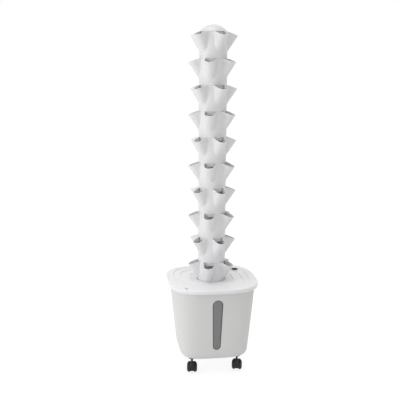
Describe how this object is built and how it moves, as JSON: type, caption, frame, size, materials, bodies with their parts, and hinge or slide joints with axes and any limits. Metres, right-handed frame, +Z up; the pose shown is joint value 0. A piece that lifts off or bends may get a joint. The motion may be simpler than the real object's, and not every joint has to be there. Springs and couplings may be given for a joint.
{
  "type": "vertical planter tower",
  "caption": "Rolling hydroponic planter tower: a white stacked column of star-shaped planting modules on a soft-square water tank with a level window and twin-wheel casters.",
  "frame": {"origin": "on the floor, on the axis of the tower", "axes": "+Z up along the tower; the level window faces -Y; +X to the right of someone facing the window"},
  "size_m": [0.348, 0.348, 1.32],
  "materials": {
    "module": "satin",
    "dome": "satin",
    "lid": "satin",
    "tank": "satin",
    "window": "satin",
    "seal_rubber": "matte",
    "plug_rubber": "matte",
    "pipe": "satin",
    "pump": "satin",
    "rotor": "satin",
    "steel": "satin",
    "caster_hood": "satin",
    "caster_wheel": "satin"
  },
  "bodies": {
    "base": {"tank": "tank", "window_seal": "seal_rubber", "level_window": "window", "pump_body": "pump", "pump_volute_cover": "pump", "pump_intake_cover": "pump", "pump_shaft": "steel", "pump_shaft_bushes": "plug_rubber", "pump_outlet_adapter": "pipe", "pump_suction_feet": "plug_rubber", "pump_cable_gland": "plug_rubber", "front_left_caster_stem": "steel", "front_right_caster_stem": "steel", "rear_right_caster_stem": "steel", "rear_left_caster_stem": "steel"},
    "lid_and_tower": {"lid": "lid", "tower_module_01": "module", "tower_module_02": "module", "tower_module_03": "module", "tower_module_04": "module", "tower_module_05": "module", "tower_module_06": "module", "tower_module_07": "module", "tower_module_08": "module", "tower_module_09": "module", "tower_module_10": "module", "water_distributor": "pipe", "riser_lower": "pipe", "riser_middle": "pipe", "riser_upper": "pipe", "riser_coupling_lower": "pipe", "riser_coupling_upper": "pipe"},
    "dome": {"dome_cap": "dome"},
    "plug": {"fill_plug": "plug_rubber"},
    "rotor": {"pump_rotor": "rotor"},
    "front_left_caster": {"front_left_caster_hood": "caster_hood", "front_left_caster_axle": "steel"},
    "front_left_left_wheel": {"front_left_caster_left_wheel": "caster_wheel"},
    "front_left_right_wheel": {"front_left_caster_right_wheel": "caster_wheel"},
    "front_right_caster": {"front_right_caster_hood": "caster_hood", "front_right_caster_axle": "steel"},
    "front_right_left_wheel": {"front_right_caster_left_wheel": "caster_wheel"},
    "front_right_right_wheel": {"front_right_caster_right_wheel": "caster_wheel"},
    "rear_right_caster": {"rear_right_caster_hood": "caster_hood", "rear_right_caster_axle": "steel"},
    "rear_right_left_wheel": {"rear_right_caster_left_wheel": "caster_wheel"},
    "rear_right_right_wheel": {"rear_right_caster_right_wheel": "caster_wheel"},
    "rear_left_caster": {"rear_left_caster_hood": "caster_hood", "rear_left_caster_axle": "steel"},
    "rear_left_left_wheel": {"rear_left_caster_left_wheel": "caster_wheel"},
    "rear_left_right_wheel": {"rear_left_caster_right_wheel": "caster_wheel"}
  },
  "joints": [
    {"name": "lid_lift", "type": "slide", "parent": "base", "child": "lid_and_tower", "axis": [0, 0, 1], "range_m": [0, 0.08]},
    {"name": "dome_lift", "type": "slide", "parent": "lid_and_tower", "child": "dome", "axis": [0, 0, 1], "range_m": [0, 0.04]},
    {"name": "plug_pull", "type": "slide", "parent": "lid_and_tower", "child": "plug", "axis": [0, 0, 1], "range_m": [0, 0.03]},
    {"name": "rotor_spin", "type": "hinge", "parent": "base", "child": "rotor", "pos_m": [0, 0, 0.1001], "axis": [0, 1, 0], "continuous": true},
    {"name": "front_left_swivel", "type": "hinge", "parent": "base", "child": "front_left_caster", "pos_m": [-0.088, -0.088, 0.05], "axis": [0, 0, 1], "continuous": true},
    {"name": "front_left_left_wheel_spin", "type": "hinge", "parent": "front_left_caster", "child": "front_left_left_wheel", "pos_m": [-0.08471, -0.06726, 0.019], "axis": [0.9877, -0.1564, 0], "continuous": true},
    {"name": "front_left_right_wheel_spin", "type": "hinge", "parent": "front_left_caster", "child": "front_left_right_wheel", "pos_m": [-0.08471, -0.06726, 0.019], "axis": [0.9877, -0.1564, 0], "continuous": true},
    {"name": "front_right_swivel", "type": "hinge", "parent": "base", "child": "front_right_caster", "pos_m": [0.088, -0.088, 0.05], "axis": [0, 0, 1], "continuous": true},
    {"name": "front_right_left_wheel_spin", "type": "hinge", "parent": "front_right_caster", "child": "front_right_left_wheel", "pos_m": [0.09308, -0.06762, 0.019], "axis": [0.9703, -0.2419, 0], "continuous": true},
    {"name": "front_right_right_wheel_spin", "type": "hinge", "parent": "front_right_caster", "child": "front_right_right_wheel", "pos_m": [0.09308, -0.06762, 0.019], "axis": [0.9703, -0.2419, 0], "continuous": true},
    {"name": "rear_right_swivel", "type": "hinge", "parent": "base", "child": "rear_right_caster", "pos_m": [0.088, 0.088, 0.05], "axis": [0, 0, 1], "continuous": true},
    {"name": "rear_right_left_wheel_spin", "type": "hinge", "parent": "rear_right_caster", "child": "rear_right_left_wheel", "pos_m": [0.09019, 0.10888, 0.019], "axis": [0.9945, -0.1045, 0], "continuous": true},
    {"name": "rear_right_right_wheel_spin", "type": "hinge", "parent": "rear_right_caster", "child": "rear_right_right_wheel", "pos_m": [0.09019, 0.10888, 0.019], "axis": [0.9945, -0.1045, 0], "continuous": true},
    {"name": "rear_left_swivel", "type": "hinge", "parent": "base", "child": "rear_left_caster", "pos_m": [-0.088, 0.088, 0.05], "axis": [0, 0, 1], "continuous": true},
    {"name": "rear_left_left_wheel_spin", "type": "hinge", "parent": "rear_left_caster", "child": "rear_left_left_wheel", "pos_m": [-0.08363, 0.10854, 0.019], "axis": [0.9781, -0.2079, 0], "continuous": true},
    {"name": "rear_left_right_wheel_spin", "type": "hinge", "parent": "rear_left_caster", "child": "rear_left_right_wheel", "pos_m": [-0.08363, 0.10854, 0.019], "axis": [0.9781, -0.2079, 0], "continuous": true}
  ]
}
